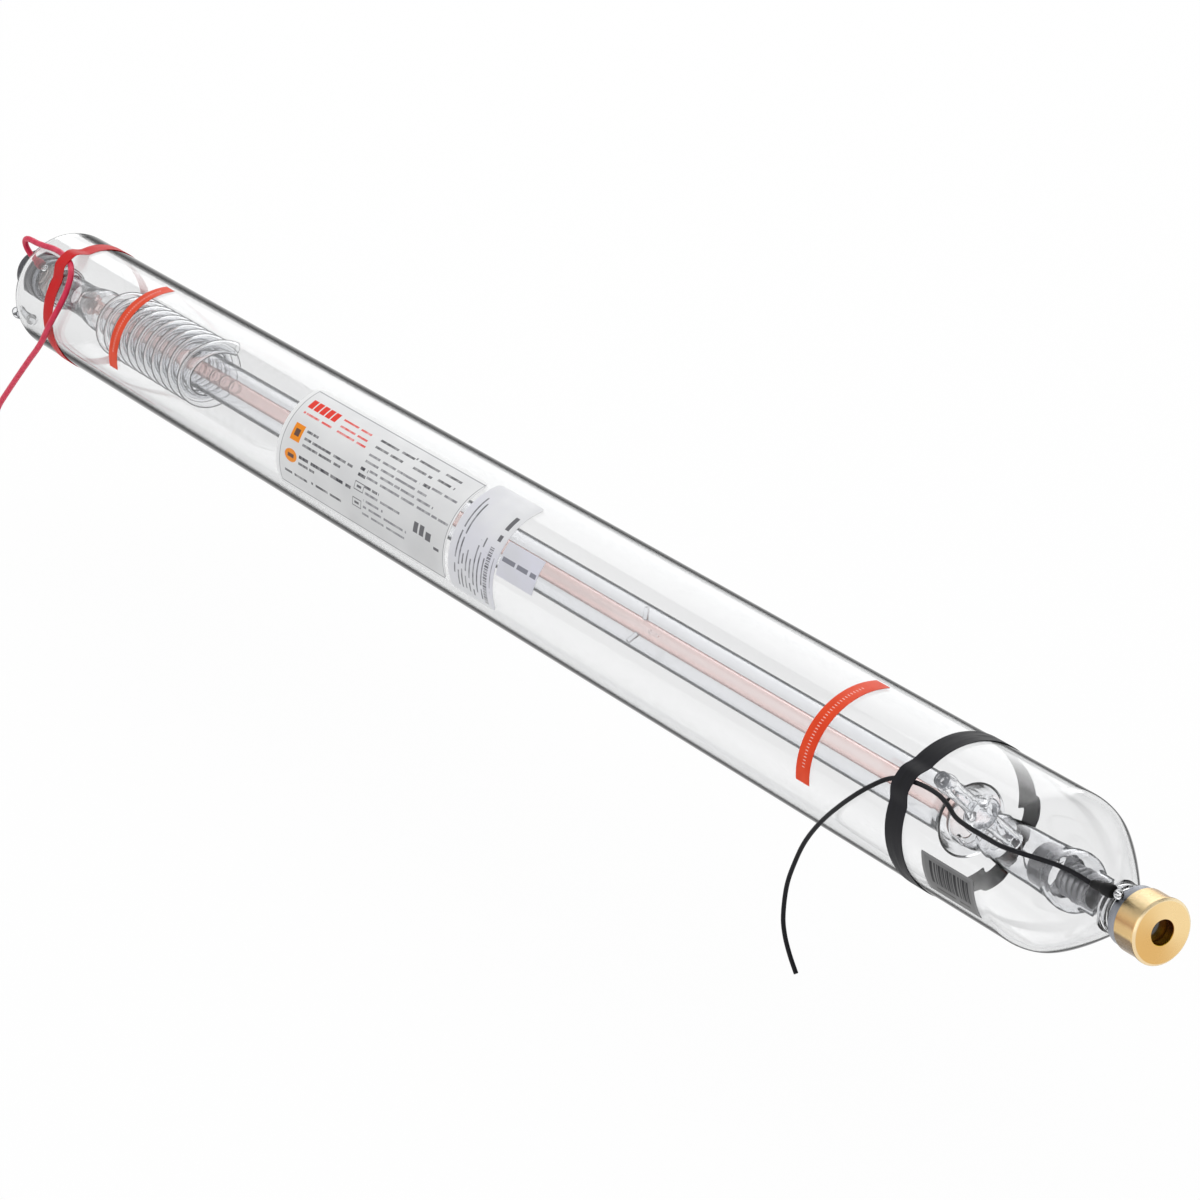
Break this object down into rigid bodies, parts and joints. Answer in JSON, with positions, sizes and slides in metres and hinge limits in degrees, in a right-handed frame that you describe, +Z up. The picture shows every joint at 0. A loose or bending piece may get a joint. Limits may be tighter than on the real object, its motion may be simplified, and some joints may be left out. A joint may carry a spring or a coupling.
{
  "type": "co2 laser tube",
  "caption": "Sealed water-cooled glass gas laser tube with a brass output head, wound return coil, two hose nipples and two lead wires.",
  "frame": {"origin": "on the optical axis, at the middle of the front support strip", "axes": "+X along the optical axis to the output head's front face, +Z up as it lies in its clamps, +Y away from the labelled side"},
  "size_m": [1.25, 0.096, 0.2107],
  "materials": {
    "envelope_glass": "clear",
    "jacket_glass": "clear",
    "port_glass": "clear",
    "chamber_glass": "clear",
    "anode_glass": "clear",
    "coil_glass": "clear",
    "nipple_glass": "clear",
    "branch_glass": "clear",
    "inlet_glass": "clear",
    "cathode_bead_glass": "clear",
    "anode_bead_glass": "clear",
    "peg_glass": "clear",
    "bore_glass": "clear with a pale pink tint",
    "brass": "fine turned",
    "coupler_crystal": "polished amber crystal",
    "seal_ring_metal": "satin",
    "mirror_head_metal": "dark satin",
    "mirror_coat": "polished",
    "mirror_ring_metal": "satin",
    "cathode_metal": "satin",
    "tip_metal": "satin",
    "stay_wire": "satin",
    "anode_metal": "satin",
    "black_shrink": "satin",
    "red_shrink": "satin",
    "black_silicone": "satin",
    "red_silicone": "satin",
    "black_tape_film": "satin film",
    "red_tape_film": "satin film",
    "front_strip_film": "satin film",
    "rear_strip_film": "satin film",
    "silver_film": "metallised film",
    "white_film": "pale film",
    "pale_film": "pale film",
    "grey_film": "dark film",
    "screw_steel_1": "blackened",
    "screw_steel_2": "blackened",
    "screw_steel_3": "blackened"
  },
  "bodies": {
    "root": {"adjuster_screw_1": "screw_steel_1", "adjuster_screw_2": "screw_steel_2", "adjuster_screw_3": "screw_steel_3", "anode_boot": "red_shrink", "anode_chamber": "anode_glass", "anode_sleeve": "anode_metal", "anode_terminal": "anode_bead_glass", "black_lead": "black_silicone", "black_tape": "black_tape_film", "cathode_boot": "black_shrink", "cathode_chamber": "chamber_glass", "cathode_sleeve": "cathode_metal", "cathode_stay": "stay_wire", "cathode_terminal": "cathode_bead_glass", "cathode_tip_sleeve": "tip_metal", "certificate_label": "white_film", "code_label": "grey_film", "discharge_tube": "bore_glass", "front_support_strip": "front_strip_film", "gas_envelope": "envelope_glass", "head_seal_ring": "seal_ring_metal", "inlet_nipple": "inlet_glass", "jacket_port": "port_glass", "mirror_head": "mirror_head_metal", "mirror_seal_ring": "mirror_ring_metal", "outlet_branch": "branch_glass", "outlet_nipple": "nipple_glass", "output_coupler": "coupler_crystal", "output_head": "brass", "rating_label": "silver_film", "rear_mirror": "mirror_coat", "rear_support_strip": "rear_strip_film", "red_lead": "red_silicone", "red_tape": "red_tape_film", "return_coil": "coil_glass", "side_up_label": "pale_film", "spacer_peg_1": "peg_glass", "spacer_peg_2": "peg_glass", "spacer_peg_3": "peg_glass", "water_jacket": "jacket_glass"}
  },
  "joints": []
}
